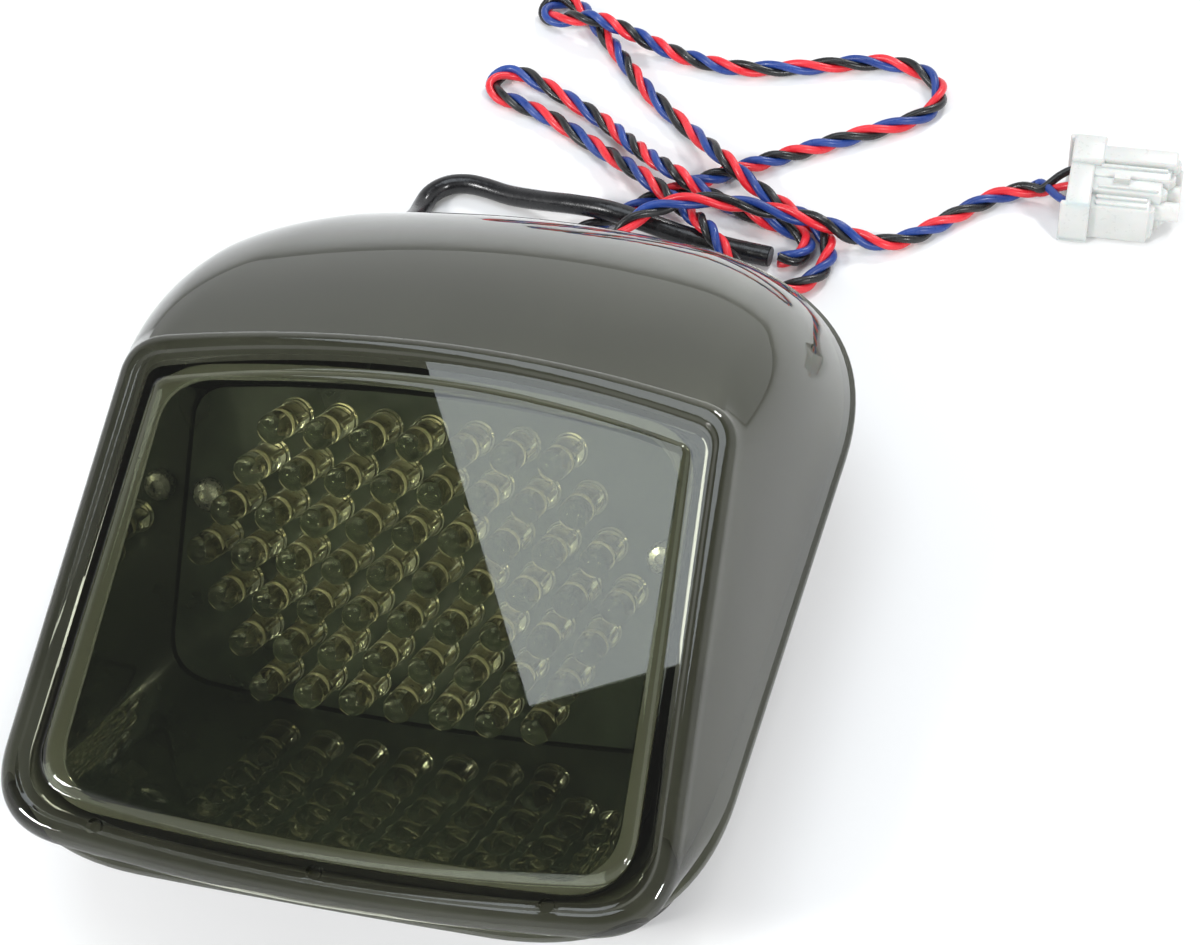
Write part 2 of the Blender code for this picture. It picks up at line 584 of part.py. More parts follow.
# The bundle of three twisted wires. It leaves the sleeve, doubles back, makes two long loops on the surface the
# lamp stands on, passes under the sleeve, turns back over it and runs across itself to the connector.
LOW = CORD_DIAMETER / 2 + 0.2
CROSS = LOW + CORD_DIAMETER + 0.25
CORD_ROUTE = [
    (37.0, 94.3, SLEEVE_REST), (38.6, 94.5, 2.0), (40.3, 95.2, LOW), (41.8, 97.6, LOW), (41.2, 100.4, LOW),
    (39.2, 102.1, LOW), (35.2, 103.7, LOW), (29.5, 105.8, LOW), (24.0, 107.5, 2.4), (18.4, 109.1, 4.0),
    (13.4, 111.2, CROSS), (8.2, 114.7, 5.2), (1.6, 120.8, 3.4), (-6.6, 128.4, LOW), (-15.9, 134.3, LOW),
    (-22.6, 138.2, LOW), (-27.3, 140.6, LOW), (-30.5, 140.6, LOW), (-32.7, 138.4, LOW), (-32.8, 135.4, LOW),
    (-30.5, 133.2, LOW), (-26.8, 131.7, LOW), (-22.2, 129.9, LOW), (-17.2, 127.5, LOW), (-11.5, 124.0, LOW),
    (-5.2, 119.6, 2.4), (0.9, 114.4, 4.2), (6.6, 109.6, CROSS), (12.6, 105.2, 5.4), (18.2, 100.4, 5.6),
    (22.4, 96.0, 7.1), (26.9, 91.6, 5.6), (31.3, 88.2, 3.4), (36.3, 86.2, LOW), (41.6, 87.4, LOW),
    (45.4, 91.8, LOW), (46.4, 97.2, LOW), (44.6, 102.2, LOW), (40.2, 106.2, LOW), (34.2, 109.5, 2.2),
    (28.2, 112.5, 3.8), (22.4, 116.4, CROSS), (17.0, 122.2, 4.2), (11.0, 128.9, 2.2), (2.4, 137.0, LOW),
    (-5.6, 146.4, LOW), (-11.6, 153.9, LOW), (-15.6, 158.8, LOW), (-19.2, 162.8, LOW), (-22.4, 165.2, LOW),
    (-25.2, 165.5, LOW), (-27.2, 163.9, LOW), (-27.6, 161.2, 1.95), (-26.1, 159.1, 2.1), (-23.4, 158.2, 2.8),
    (-19.4, 157.3, 4.4), (-14.1, 156.1, CROSS), (-7.7, 154.6, 4.5), (0.5, 152.5, 2.5), (7.0, 150.6, LOW),
    (18.1, 148.8, LOW), (30.5, 150.6, LOW), (42.6, 153.8, LOW), (50.0, 154.6, LOW), (56.4, 152.8, LOW),
    (60.6, 148.2, LOW), (60.4, 142.2, LOW), (56.0, 137.4, LOW), (46.2, 131.6, LOW), (35.2, 125.0, LOW),
    (24.6, 118.6, LOW), (15.3, 112.2, LOW), (8.6, 107.0, LOW), (4.0, 102.4, LOW), (-0.4, 98.6, LOW),
    (-4.6, 94.6, LOW), (-5.8, 90.4, LOW), (-3.4, 86.6, 2.4), (1.2, 86.2, 4.2), (5.0, 89.6, 6.6),
    (8.6, 94.2, 8.8), (13.2, 97.9, 9.4), (19.4, 100.1, 9.9), (26.8, 101.7, 8.6), (33.0, 102.6, 7.0),
    (39.5, 102.5, 6.0), (45.0, 102.0, 5.3), (51.0, 101.7, 2.9), (56.6, 101.9, LOW), (61.6, 104.4, LOW),
    (66.2, 108.6, LOW), (71.2, 113.6, LOW), (76.0, 117.8, LOW), (80.2, 119.8, 2.2), (83.6, 120.3, 3.0),
]
tube("twisted_cord", CORD_ROUTE, CORD_DIAMETER, WIRE_COLORS["red"], 80)

# ---- Connector ---------------------------------------------------------------------------------------------

WAYS = {"black": 1, "red": 0, "blue": -1}
FAN_START = {"black": (121.4, 2.4), "red": (120.3, 4.3), "blue": (119.2, 2.4)}
WAY_Z = 5.6
way_middle_y = (PLUG_FRONT + PLUG_BACK) / 2 + 0.6
body_top = 8.8

for color, place in WAYS.items():
    way_y = way_middle_y + place * WAY_PITCH
    start_y, start_z = FAN_START[color]
    tube(f"wire_{color}", [
        (84.5, start_y, start_z), (85.7, start_y + 0.2 * place, start_z + 0.2),
        (87.8, (start_y + way_y * 2) / 3, (start_z + WAY_Z * 2) / 3),
        (PLUG_LEFT, way_y, WAY_Z), (PLUG_LEFT + 3.0, way_y, WAY_Z),
    ], WIRE_DIAMETER, WIRE_COLORS[color], 14)
    block(f"terminal_{color}", (12.0, 2.0, 2.2), at(PLUG_LEFT + 3.4 + 6.0, way_y, WAY_Z), TIN, 0.2)


def span(name, low, high, mat=None, bevel=0.0, group=cutters):
    """A block between two opposite corners."""
    low = Vector(low)
    high = Vector(high)
    return block(name, high - low, at(*((low + high) / 2)), mat, bevel, group)


def build_connector():
    plug = span("connector_housing", (PLUG_LEFT, PLUG_FRONT, PLUG_BOTTOM), (PLUG_RIGHT - 2.5, PLUG_BACK, body_top),
                NYLON, 0.5, lamp)
    upper = span("plug_upper", (PLUG_LEFT + 4.6, PLUG_FRONT + 4.0, 2.6), (PLUG_RIGHT + 1.0, PLUG_BACK - 0.2, 10.2),
                 bevel=0.5)
    ridge = span("plug_ridge", (PLUG_LEFT + 4.6, PLUG_BACK - 5.4, 9.0), (PLUG_RIGHT, PLUG_BACK - 0.8, PLUG_TOP + 0.4),
                 bevel=0.4)
    for shape in (upper, ridge):
        combine(plug, shape, "UNION")
    for color, place in WAYS.items():
        way_y = way_middle_y + place * WAY_PITCH
        way = span(f"way_{color}", (PLUG_LEFT - 1.0, way_y - 1.7, WAY_Z - 1.9),
                   (PLUG_RIGHT + 3.0, way_y + 1.7, WAY_Z + 1.9))
        combine(plug, way, "DIFFERENCE")
    window = span("latch_window", (PLUG_LEFT + 8.5, way_middle_y - 3.2, 7.0),
                  (PLUG_LEFT + 11.0, way_middle_y - 1.9, 12.0))
    combine(plug, window, "DIFFERENCE")
    lock = span("connector_lock", (PLUG_LEFT - 1.6, PLUG_FRONT - 1.6, PLUG_BOTTOM),
                (PLUG_LEFT + 4.2, PLUG_BACK + 1.6, 11.6), NYLON, 0.8, lamp)
    saddle = span("lock_saddle", (PLUG_LEFT - 3.0, PLUG_FRONT - GAP, -2.0),
                  (PLUG_LEFT + 6.0, PLUG_BACK + GAP, body_top + GAP))
    combine(lock, saddle, "DIFFERENCE")


build_connector()
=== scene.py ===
"""Looks of a wedge-shaped LED tail light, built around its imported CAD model.

Lengths below are in millimetres, in the CAD model's frame, and are scaled to metres when a mesh is made.
"""
import math

import bmesh
import bpy
from mathutils import Matrix, Vector


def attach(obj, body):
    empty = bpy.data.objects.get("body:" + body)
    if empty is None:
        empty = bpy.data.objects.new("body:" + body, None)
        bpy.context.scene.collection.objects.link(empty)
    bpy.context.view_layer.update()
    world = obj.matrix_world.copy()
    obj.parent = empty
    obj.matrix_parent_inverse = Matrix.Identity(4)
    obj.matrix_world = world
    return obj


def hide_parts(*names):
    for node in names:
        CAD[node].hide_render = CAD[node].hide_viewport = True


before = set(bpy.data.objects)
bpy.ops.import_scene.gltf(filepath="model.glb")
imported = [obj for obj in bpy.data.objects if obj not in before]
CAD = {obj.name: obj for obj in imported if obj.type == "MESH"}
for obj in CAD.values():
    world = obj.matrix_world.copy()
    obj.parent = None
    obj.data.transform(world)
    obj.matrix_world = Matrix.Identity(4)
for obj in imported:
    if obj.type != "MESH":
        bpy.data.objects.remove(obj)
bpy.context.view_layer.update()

MM = 0.001
scene = bpy.context.scene

# Heights above the back face.
FLOOR_THICKNESS = 2.5
FLANGE_BOTTOM = 23.5
FLANGE_TOP = 26.5
RIM_HEIGHT = 28.0
SKIRT_HEIGHT = 1.2

# Slanted planes: the front of the lens, and the tips of the LEDs with the board behind them.
FRONT_ORIGIN = Vector((0.0, -30.7, 47.3))
FRONT_TILT = math.radians(21.4)
BOARD_ORIGIN = Vector((0.0, -18.0, 36.8))
BOARD_TILT = math.radians(53.7)
BOARD_FACE = -13.1
BOARD_BACK = -14.7

PANE_THICKNESS = 2.3
GAP = 0.3

# How far the lens's walls bulge between the rim and the front, and the stretch of y over which that changes
# from the sides to the tall end.
SIDE_FULLNESS = 0.14
END_FULLNESS = 0.42
FULL_FROM_Y = 15.0
FULL_TO_Y = 58.0
WALL_STEPS = 20

LED_PITCH = 7.62
LED_ROW_PITCH = 7.22
LED_ROW_COUNTS = (7, 8, 9, 10, 9, 8, 7)
LED_RADIUS = 2.5
LED_FLANGE_RADIUS = 2.9
LED_LENGTH = 12.8
LED_GRID_X = -0.85
LED_GRID_UP = -0.7

# Points along an outline's arched edges, rounded corners and straight sides.
EDGE_STEPS = 16
CORNER_STEPS = 22
SIDE_STEPS = 12

# Outlines: half widths of the top and bottom corners, their heights in the outline's plane, the rise of the
# arched top and bottom edges, and how far the rounding reaches from each corner.
RIM = dict(wide_top=64.7, wide_bottom=55.3, top=59.25, bottom=-70.35, arch_top=12.0, arch_bottom=0.9,
           round_top=34.5, round_bottom=28.0)
FRONT = dict(wide_top=48.7, wide_bottom=51.7, top=37.0, bottom=-39.5, arch_top=5.5, arch_bottom=3.7,
             round_top=5.0, round_bottom=11.0)
WINDOW = dict(wide_top=41.5, wide_bottom=43.3, top=31.5, bottom=-33.5, arch_top=4.0, arch_bottom=2.0,
              round_top=6.5, round_bottom=8.0)
BOX_FLOOR = dict(wide_top=41.5, wide_bottom=45.2, top=23.5, bottom=-27.0, arch_top=3.4, arch_bottom=2.2,
                 round_top=5.5, round_bottom=8.0)
HOUSING_TOP = dict(wide_top=58.0, wide_bottom=49.5, top=52.0, bottom=-62.5, arch_top=11.0, arch_bottom=0.9,
                   round_top=26.0, round_bottom=20.0)
HOUSING_LOW = dict(wide_top=56.0, wide_bottom=48.0, top=49.0, bottom=-54.5, arch_top=10.0, arch_bottom=0.9,
                   round_top=24.0, round_bottom=15.0)

INSERT_X = 30.0
INSERT_Y = 30.0
INSERT_RADIUS = 3.5
INSERT_DEPTH = 8.0
BOARD_SCREW_X = 38.4
BOARD_SCREW_UP = 5.6
POST_WIDTH = 6.4
POST_LENGTH = 13.0
EXIT_X = -37.0
EXIT_Z = 14.0
EXIT_FACE_Y = 60.5
EXIT_DEPTH = 21.0
GROMMET_REACH = 9.0

# ---- Camera ------------------------------------------------------------------------------------------------

CAMERA_PLACE = Vector((103.1, -210.33, 316.44))
CAMERA_FORWARD = Vector((-0.21508, 0.60225, -0.76879))
CAMERA_RIGHT = Vector((0.9681, 0.23507, -0.0867))

camera_data = bpy.data.cameras.new("camera")
camera_data.sensor_width = 36.0
camera_data.lens = 67.5
camera_data.clip_start = 0.01
camera = bpy.data.objects.new("camera", camera_data)
scene.collection.objects.link(camera)
camera_up = CAMERA_RIGHT.cross(CAMERA_FORWARD).normalized()
camera.matrix_world = Matrix.Translation(CAMERA_PLACE * MM) @ Matrix(
    (CAMERA_RIGHT.normalized(), camera_up, -CAMERA_FORWARD.normalized())).transposed().to_4x4()
scene.camera = camera


# ---- Materials ---------------------------------------------------------------------------------------------

def new_material(name):
    made = bpy.data.materials.new(name)
    made.use_nodes = True
    return made, made.node_tree, made.node_tree.nodes["Principled BSDF"]


# The middle ranges of a noise texture that are spread over a material's values and over its two tones.
NOISE_RANGE = (0.3, 0.7)
TONE_RANGE = (0.32, 0.68)


def noise(tree, scale, detail):
    """A noise texture in the object's own coordinates, with its pattern scale in features per metre."""
    where = tree.nodes.new("ShaderNodeTexCoord")
    texture = tree.nodes.new("ShaderNodeTexNoise")
    texture.inputs["Scale"].default_value = scale
    texture.inputs["Detail"].default_value = detail
    tree.links.new(where.outputs["Object"], texture.inputs["Vector"])
    return texture.outputs["Fac"]


def spread(tree, factor, low, high):
    """The factor's middle range mapped to low..high."""
    remap = tree.nodes.new("ShaderNodeMapRange")
    remap.inputs["From Min"].default_value = NOISE_RANGE[0]
    remap.inputs["From Max"].default_value = NOISE_RANGE[1]
    remap.inputs["To Min"].default_value = low
    remap.inputs["To Max"].default_value = high
    tree.links.new(factor, remap.inputs["Value"])
    return remap.outputs["Result"]


def two_tones(tree, factor, dark, light):
    ramp = tree.nodes.new("ShaderNodeValToRGB")
    ramp.color_ramp.elements[0].position = TONE_RANGE[0]
    ramp.color_ramp.elements[0].color = (*dark, 1.0)
    ramp.color_ramp.elements[1].position = TONE_RANGE[1]
    ramp.color_ramp.elements[1].color = (*light, 1.0)
    tree.links.new(factor, ramp.inputs["Fac"])
    return ramp.outputs["Color"]


def relief(tree, factor, depth, strength=1.0):
    """A bump from the factor, its depth in millimetres."""
    bump = tree.nodes.new("ShaderNodeBump")
    bump.inputs["Distance"].default_value = depth * MM
    bump.inputs["Strength"].default_value = strength
    tree.links.new(factor, bump.inputs["Height"])
    return bump.outputs["Normal"]


def surface(name, dark, light, rough, tone_scale, grain_scale, depth, **sockets):
    """A solid material: two close tones, roughness that varies between two values, and a fine grain."""
    made, tree, shader = new_material(name)
    tone = noise(tree, tone_scale, 5.0)
    grain = noise(tree, grain_scale, 3.0)
    tree.links.new(two_tones(tree, tone, dark, light), shader.inputs["Base Color"])
    tree.links.new(spread(tree, grain, *rough), shader.inputs["Roughness"])
    tree.links.new(relief(tree, grain, depth), shader.inputs["Normal"])
    for socket, value in sockets.items():
        shader.inputs[socket.replace("_", " ")].default_value = value
    return made


def clear(name, dark, light, rough, through, ior, tone_scale, depth):
    """A clear moulding that lets lamps reach what is behind it."""
    made, tree, shader = new_material(name)
    tone = noise(tree, tone_scale, 3.0)
    fine = noise(tree, tone_scale * 12, 2.0)
    tree.links.new(two_tones(tree, tone, dark, light), shader.inputs["Base Color"])
    tree.links.new(spread(tree, fine, *rough), shader.inputs["Roughness"])
    tree.links.new(relief(tree, fine, depth, 0.6), shader.inputs["Normal"])
    shader.inputs["Transmission Weight"].default_value = 1.0
    shader.inputs["IOR"].default_value = ior
    ray = tree.nodes.new("ShaderNodeLightPath")
    see_through = tree.nodes.new("ShaderNodeBsdfTransparent")
    see_through.inputs["Color"].default_value = (*through, 1.0)
    mix = tree.nodes.new("ShaderNodeMixShader")
    tree.links.new(ray.outputs["Is Shadow Ray"], mix.inputs["Fac"])
    tree.links.new(shader.outputs["BSDF"], mix.inputs[1])
    tree.links.new(see_through.outputs["BSDF"], mix.inputs[2])
    tree.links.new(mix.outputs["Shader"], tree.nodes["Material Output"].inputs["Surface"])
    return made


SMOKED = clear("smoked_polycarbonate", (0.60, 0.615, 0.47), (0.65, 0.665, 0.52), (0.0, 0.012),
               (0.80, 0.81, 0.72), 1.56, 14.0, 0.0001)
EPOXY = clear("clear_epoxy", (0.90, 0.90, 0.78), (0.95, 0.95, 0.86), (0.0, 0.06), (0.95, 0.95, 0.88), 1.54,
              60.0, 0.008)
BLACK_GLOSS = surface("black_gloss_plastic", (0.006, 0.008, 0.006), (0.012, 0.015, 0.011), (0.0, 0.025), 50.0,
                      500.0, 0.0006, IOR=3.4)
BLACK_MATT = surface("black_matt_plastic", (0.014, 0.014, 0.014), (0.026, 0.026, 0.025), (0.42, 0.62), 45.0,
                     1400.0, 0.05)
BOARD_GREEN = surface("solder_mask", (0.017, 0.022, 0.018), (0.033, 0.041, 0.035), (0.10, 0.26), 90.0, 1100.0,
                      0.02, Coat_Weight=0.4)
RUBBER = surface("black_rubber", (0.012, 0.012, 0.012), (0.026, 0.025, 0.024), (0.55, 0.75), 120.0, 1500.0,
                 0.04)
SLEEVE_BLACK = surface("black_vinyl", (0.008, 0.008, 0.009), (0.018, 0.018, 0.019), (0.16, 0.34), 90.0, 700.0,
                       0.05)
STEEL = surface("plated_steel", (0.48, 0.48, 0.46), (0.68, 0.67, 0.64), (0.2, 0.38), 400.0, 1600.0, 0.02,
                Metallic=1.0)
BRASS = surface("turned_brass", (0.62, 0.43, 0.17), (0.80, 0.60, 0.28), (0.22, 0.4), 300.0, 1500.0, 0.03,
                Metallic=1.0)
TIN = surface("tinned_contact", (0.62, 0.61, 0.58), (0.78, 0.77, 0.73), (0.22, 0.4), 300.0, 1500.0, 0.02,
              Metallic=1.0)
DARK_FRAME = surface("led_lead_frame", (0.36, 0.33, 0.25), (0.55, 0.51, 0.40), (0.25, 0.5), 500.0, 1600.0,
                     0.03, Metallic=1.0)
# Painted shade: a dark olive sheet on the lens's inner walls and rim underside and on the light box's flange,
# standing in for the shade seen there.
OLIVE_PAINTED_SHADE = surface("olive_painted_shade", (0.030, 0.030, 0.023), (0.048, 0.048, 0.040), (0.35, 0.45), 12.0,
                        80.0, 0.002)
TAN = surface("resistor_lacquer", (0.46, 0.33, 0.19), (0.60, 0.46, 0.28), (0.3, 0.45), 200.0, 1200.0, 0.03)
COMPONENT = surface("moulded_component", (0.014, 0.014, 0.014), (0.028, 0.028, 0.028), (0.35, 0.55), 150.0,
                    1500.0, 0.03)
NYLON = surface("natural_nylon", (0.56, 0.57, 0.55), (0.63, 0.635, 0.615), (0.25, 0.42), 120.0, 900.0, 0.03,
                Subsurface_Weight=0.2, Subsurface_Scale=0.002)
WIRES = {
    "red": surface("red_insulation", (0.62, 0.012, 0.022), (0.78, 0.03, 0.045), (0.24, 0.42), 160.0, 1200.0,
                   0.03),
    "blue": surface("blue_insulation", (0.010, 0.035, 0.19), (0.022, 0.065, 0.30), (0.24, 0.42), 160.0,
                    1200.0, 0.03),
    "black": surface("black_insulation", (0.006, 0.006, 0.007), (0.016, 0.016, 0.017), (0.22, 0.38), 160.0,
                     1200.0, 0.03),
}


# ---- Meshes ------------------------------------------------------------------------------------------------

def smooth(body, degrees=35.0):
    for face in body.data.polygons:
        face.use_smooth = True
    body.data.set_sharp_from_angle(angle=math.radians(degrees))


def finish_mesh(name, work, mats, degrees=35.0):
    bmesh.ops.recalc_face_normals(work, faces=work.faces)
    mesh = bpy.data.meshes.new(name)
    work.to_mesh(mesh)
    work.free()
    for mat in mats:
        mesh.materials.append(mat)
    body = bpy.data.objects.new(name, mesh)
    scene.collection.objects.link(body)
    smooth(body, degrees)
    return body


def piece(body, slot, *nodes):
    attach(body, "root")
    if nodes:
        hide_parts(*nodes)
    return body


def inset(shape, amount):
    """The same outline drawn in by an amount (or out, if it is negative)."""
    return dict(
        wide_top=shape["wide_top"] - amount,
        wide_bottom=shape["wide_bottom"] - amount,
        top=shape["top"] - amount,
        bottom=shape["bottom"] + amount,
        arch_top=shape["arch_top"],
        arch_bottom=shape["arch_bottom"],
        round_top=max(shape["round_top"] - 0.8 * amount, 1.5),
        round_bottom=max(shape["round_bottom"] - 0.8 * amount, 1.5),
    )


def bend(start, corner, end, steps):
    """Points along a quadratic curve from start to end, drawn towards the corner, ends left out."""
    points = []
    for step in range(1, steps):
        part = step / steps
        points.append(start * (1 - part) ** 2 + corner * (2 * part * (1 - part)) + end * part ** 2)
    return points


def outline(shape):
    """Closed outline as (x, up) points, clockwise from the middle of the arched top edge."""
    top_corner = Vector((shape["wide_top"], shape["top"]))
    low_corner = Vector((shape["wide_bottom"], shape["bottom"]))
    side = (low_corner - top_corner).normalized()

    def top_edge(x):
        return Vector((x, shape["top"] + shape["arch_top"] * (1 - (x / shape["wide_top"]) ** 2)))

    def low_edge(x):
        return Vector((x, shape["bottom"] - shape["arch_bottom"] * (1 - (x / shape["wide_bottom"]) ** 2)))

    top_reach = shape["wide_top"] - shape["round_top"]
    low_reach = shape["wide_bottom"] - shape["round_bottom"]
    side_start = top_corner + side * shape["round_top"]
    side_end = low_corner - side * shape["round_bottom"]
    right = [top_edge(top_reach * step / EDGE_STEPS) for step in range(EDGE_STEPS + 1)]
    right += bend(right[-1], top_corner, side_start, CORNER_STEPS)
    right += [side_start.lerp(side_end, step / SIDE_STEPS) for step in range(SIDE_STEPS + 1)]
    right += bend(side_end, low_corner, low_edge(low_reach), CORNER_STEPS)
    right += [low_edge(low_reach * (1 - step / EDGE_STEPS)) for step in range(EDGE_STEPS + 1)]
    left = [Vector((-point.x, point.y)) for point in reversed(right[1:-1])]
    return right + left


def level_ring(shape, height):
    return [Vector((point.x, point.y, height)) for point in outline(shape)]


def tilted(origin, tilt, x, up, out):
    """A point given in a slanted plane: across, up the plane, and out of it."""
    return origin + Vector((
        x,
        up * math.cos(tilt) - out * math.sin(tilt),
        up * math.sin(tilt) + out * math.cos(tilt),
    ))


def front_ring(shape, out):
    return [tilted(FRONT_ORIGIN, FRONT_TILT, point.x, point.y, out) for point in outline(shape)]


def board_ring(shape, out):
    return [tilted(BOARD_ORIGIN, BOARD_TILT, point.x, point.y, out) for point in outline(shape)]


def board_matrix(x, up, out):
    """Placement whose local z axis points out of the board and whose local y axis points up it."""
    place = Matrix.Translation(tilted(BOARD_ORIGIN, BOARD_TILT, x, up, out) * MM)
    return place @ Matrix.Rotation(BOARD_TILT, 4, "X")


def at(x, y, z, turn=0.0):
    return Matrix.Translation(Vector((x, y, z)) * MM) @ Matrix.Rotation(math.radians(turn), 4, "X")


def loft(name, rings, mats, capped=True, shade_stretches=()):
    """Skin over matching rings, capped at both ends, or joined round from the last ring to the first.

    The stretches after the rings numbered in the last argument take the second material, which here is
    painted shade.
    """
    work = bmesh.new()
    rows = [[work.verts.new(point * MM) for point in ring] for ring in rings]
    count = len(rings[0])
    pairs = list(zip(rows, rows[1:]))
    if capped:
        work.faces.new(rows[0])
        work.faces.new(rows[-1])
    else:
        pairs.append((rows[-1], rows[0]))
    for number, (low, high) in enumerate(pairs):
        for index in range(count):
            after = (index + 1) % count
            face = work.faces.new((low[index], low[after], high[after], high[index]))
            face.material_index = int(number in shade_stretches)
    return finish_mesh(name, work, mats)


def lathe(work, profile, place, sides=32):
    """A turned solid of (radius, height) points that start and end on the axis, added to a mesh."""
    rows = []
    for radius, height in profile:
        if radius == 0:
            rows.append([work.verts.new(place @ Vector((0, 0, height * MM)))])
            continue
        row = []
        for side in range(sides):
            angle = math.tau * side / sides
            point = Vector((radius * math.cos(angle), radius * math.sin(angle), height))
            row.append(work.verts.new(place @ (point * MM)))
        rows.append(row)
    for low, high in zip(rows, rows[1:]):
        for side in range(sides):
            after = (side + 1) % sides
            corners = [low[side % len(low)], low[after % len(low)]]
            corners += [high[after % len(high)], high[side % len(high)]]
            work.faces.new(list(dict.fromkeys(corners)))


def box(work, low, high, place=Matrix(), bevel=0.0):
    """A block between two opposite corners, added to a mesh."""
    low = Vector(low)
    high = Vector(high)
    made = bmesh.ops.create_cube(work, size=1.0)["verts"]
    for vert in made:
        vert.co = Vector([(a + b) / 2 + c * (b - a) for a, b, c in zip(low, high, vert.co)]) * MM
    if bevel > 0:
        edges = list({edge for vert in made for edge in vert.link_edges})
        made = bmesh.ops.bevel(work, geom=edges, offset=bevel * MM, segments=3, affect="EDGES",
                               profile=0.5)["verts"]
    bmesh.ops.transform(work, matrix=place, verts=made)


def cut(body, tool, operation):
    """Joins the tool to the body or cuts it out, at once, and removes the tool."""
    step = body.modifiers.new("step", "BOOLEAN")
    step.operation = operation
    step.solver = "EXACT"
    step.object = tool
    graph = bpy.context.evaluated_depsgraph_get()
    mesh = bpy.data.meshes.new_from_object(body.evaluated_get(graph))
    body.modifiers.clear()
    body.data = mesh
    bpy.data.objects.remove(tool, do_unlink=True)


# ---- Cords -------------------------------------------------------------------------------------------------

SLEEVE_DIAMETER = 4.1
CORD_DIAMETER = 3.5
BUNDLE_OF_THREE = 2.155  # how many strands across a bundle of three is
STRAND_RADIUS = CORD_DIAMETER / 2 / BUNDLE_OF_THREE
STRAND_ORBIT = CORD_DIAMETER / 2 - STRAND_RADIUS
TWIST_LAY = 15.5
STEP = 0.8

SLEEVE_REST = SLEEVE_DIAMETER / 2 + 0.05
SLEEVE_ROUTE = [
    (EXIT_X, EXIT_FACE_Y + GROMMET_REACH + 2 * GAP, EXIT_Z),
    (EXIT_X, 75.8, 13.3), (EXIT_X, 82.0, 10.6), (EXIT_X, 88.0, 6.8),
    (EXIT_X, 93.6, 3.5), (-37.2, 98.2, SLEEVE_REST), (-36.4, 101.8, SLEEVE_REST), (-33.8, 104.7, SLEEVE_REST),
    (-29.8, 105.8, SLEEVE_REST), (-25.6, 105.2, SLEEVE_REST), (-20.0, 103.6, 2.3), (-13.0, 101.8, 3.6),
    (-5.5, 100.2, 5.1), (2.0, 98.7, 5.9), (10.0, 97.6, 4.8), (17.0, 97.0, 3.1), (23.0, 96.4, 2.3),
    (29.0, 95.5, SLEEVE_REST), (35.2, 94.6, SLEEVE_REST),
]
LOW = CORD_DIAMETER / 2 + 0.2
CROSS = LOW + CORD_DIAMETER + 0.25
CORD_ROUTE = [
    (37.0, 94.3, SLEEVE_REST), (38.6, 94.5, 2.0), (40.3, 95.2, LOW), (41.8, 97.6, LOW), (41.2, 100.4, LOW),
    (39.2, 102.1, LOW), (35.2, 103.7, LOW), (29.5, 105.8, LOW), (24.0, 107.5, 2.4), (18.4, 109.1, 4.0),
    (13.4, 111.2, CROSS), (8.2, 114.7, 5.2), (1.6, 120.8, 3.4), (-6.6, 128.4, LOW), (-15.9, 134.3, LOW),
    (-22.6, 138.2, LOW), (-27.3, 140.6, LOW), (-30.5, 140.6, LOW), (-32.7, 138.4, LOW), (-32.8, 135.4, LOW),
    (-30.5, 133.2, LOW), (-26.8, 131.7, LOW), (-22.2, 129.9, LOW), (-17.2, 127.5, LOW), (-11.5, 124.0, LOW),
    (-5.2, 119.6, 2.4), (0.9, 114.4, 4.2), (6.6, 109.6, CROSS), (12.6, 105.2, 5.4), (18.2, 100.4, 5.6),
    (22.4, 96.0, 7.1), (26.9, 91.6, 5.6), (31.3, 88.2, 3.4), (36.3, 86.2, LOW), (41.6, 87.4, LOW),
    (45.4, 91.8, LOW), (46.4, 97.2, LOW), (44.6, 102.2, LOW), (40.2, 106.2, LOW), (34.2, 109.5, 2.2),
    (28.2, 112.5, 3.8), (22.4, 116.4, CROSS), (17.0, 122.2, 4.2), (11.0, 128.9, 2.2), (2.4, 137.0, LOW),
    (-5.6, 146.4, LOW), (-11.6, 153.9, LOW), (-15.6, 158.8, LOW), (-19.2, 162.8, LOW), (-22.4, 165.2, LOW),
    (-25.2, 165.5, LOW), (-27.2, 163.9, LOW), (-27.6, 161.2, 1.95), (-26.1, 159.1, 2.1), (-23.4, 158.2, 2.8),
    (-19.4, 157.3, 4.4), (-14.1, 156.1, CROSS), (-7.7, 154.6, 4.5), (0.5, 152.5, 2.5), (7.0, 150.6, LOW),
    (18.1, 148.8, LOW), (30.5, 150.6, LOW), (42.6, 153.8, LOW), (50.0, 154.6, LOW), (56.4, 152.8, LOW),
    (60.6, 148.2, LOW), (60.4, 142.2, LOW), (56.0, 137.4, LOW), (46.2, 131.6, LOW), (35.2, 125.0, LOW),
    (24.6, 118.6, LOW), (15.3, 112.2, LOW), (8.6, 107.0, LOW), (4.0, 102.4, LOW), (-0.4, 98.6, LOW),
    (-4.6, 94.6, LOW), (-5.8, 90.4, LOW), (-3.4, 86.6, 2.4), (1.2, 86.2, 4.2), (5.0, 89.6, 6.6),
    (8.6, 94.2, 8.8), (13.2, 97.9, 9.4), (19.4, 100.1, 9.9), (26.8, 101.7, 8.6), (33.0, 102.6, 7.0),
    (39.5, 102.5, 6.0), (45.0, 102.0, 5.3), (51.0, 101.7, 2.9), (56.6, 101.9, LOW), (61.6, 104.4, LOW),
    (66.2, 108.6, LOW), (71.2, 113.6, LOW), (76.0, 117.8, LOW), (80.2, 119.8, 2.2), (83.6, 120.3, 3.0),
]


